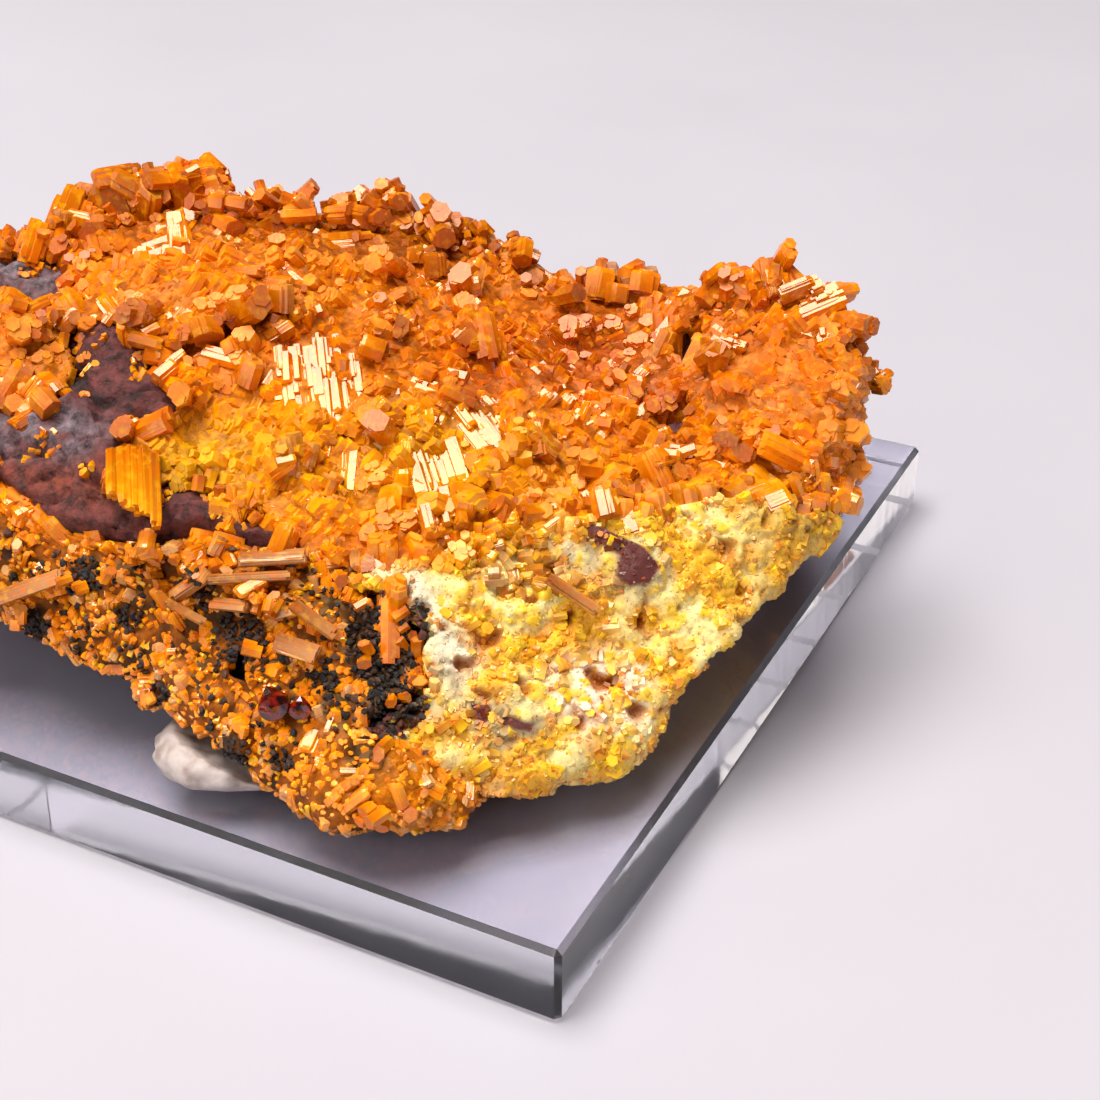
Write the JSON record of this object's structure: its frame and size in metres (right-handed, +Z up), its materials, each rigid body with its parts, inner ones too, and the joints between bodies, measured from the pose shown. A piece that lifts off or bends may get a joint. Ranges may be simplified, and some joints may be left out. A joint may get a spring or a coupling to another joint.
{
  "type": "mimetite mineral specimen on a clear display base",
  "caption": "Orange crystal crust over a dark stone with a granular yellow face, held by putty on a square clear slab.",
  "frame": {"origin": "middle of the base's underside", "axes": "+Z up; +X and +Y along the base's sides, with the longer overhang of the specimen along X"},
  "size_m": [0.0901, 0.0762, 0.0355],
  "materials": {
    "clear_acrylic": "clear, polished all over",
    "putty": "matt, pressed by hand",
    "rock": "rough broken rock stained purple-brown by iron",
    "granular_mimetite": "sugary, matt, yellow to cream",
    "crystal_mimetite": "resinous, see-through honey-orange crystals"
  },
  "bodies": {
    "root": {"acrylic_base": "clear_acrylic", "putty_front": "putty", "putty_left": "putty", "putty_back": "putty", "matrix_stone": "rock", "massive_mimetite": "granular_mimetite", "mimetite_crust": "crystal_mimetite"}
  },
  "joints": []
}
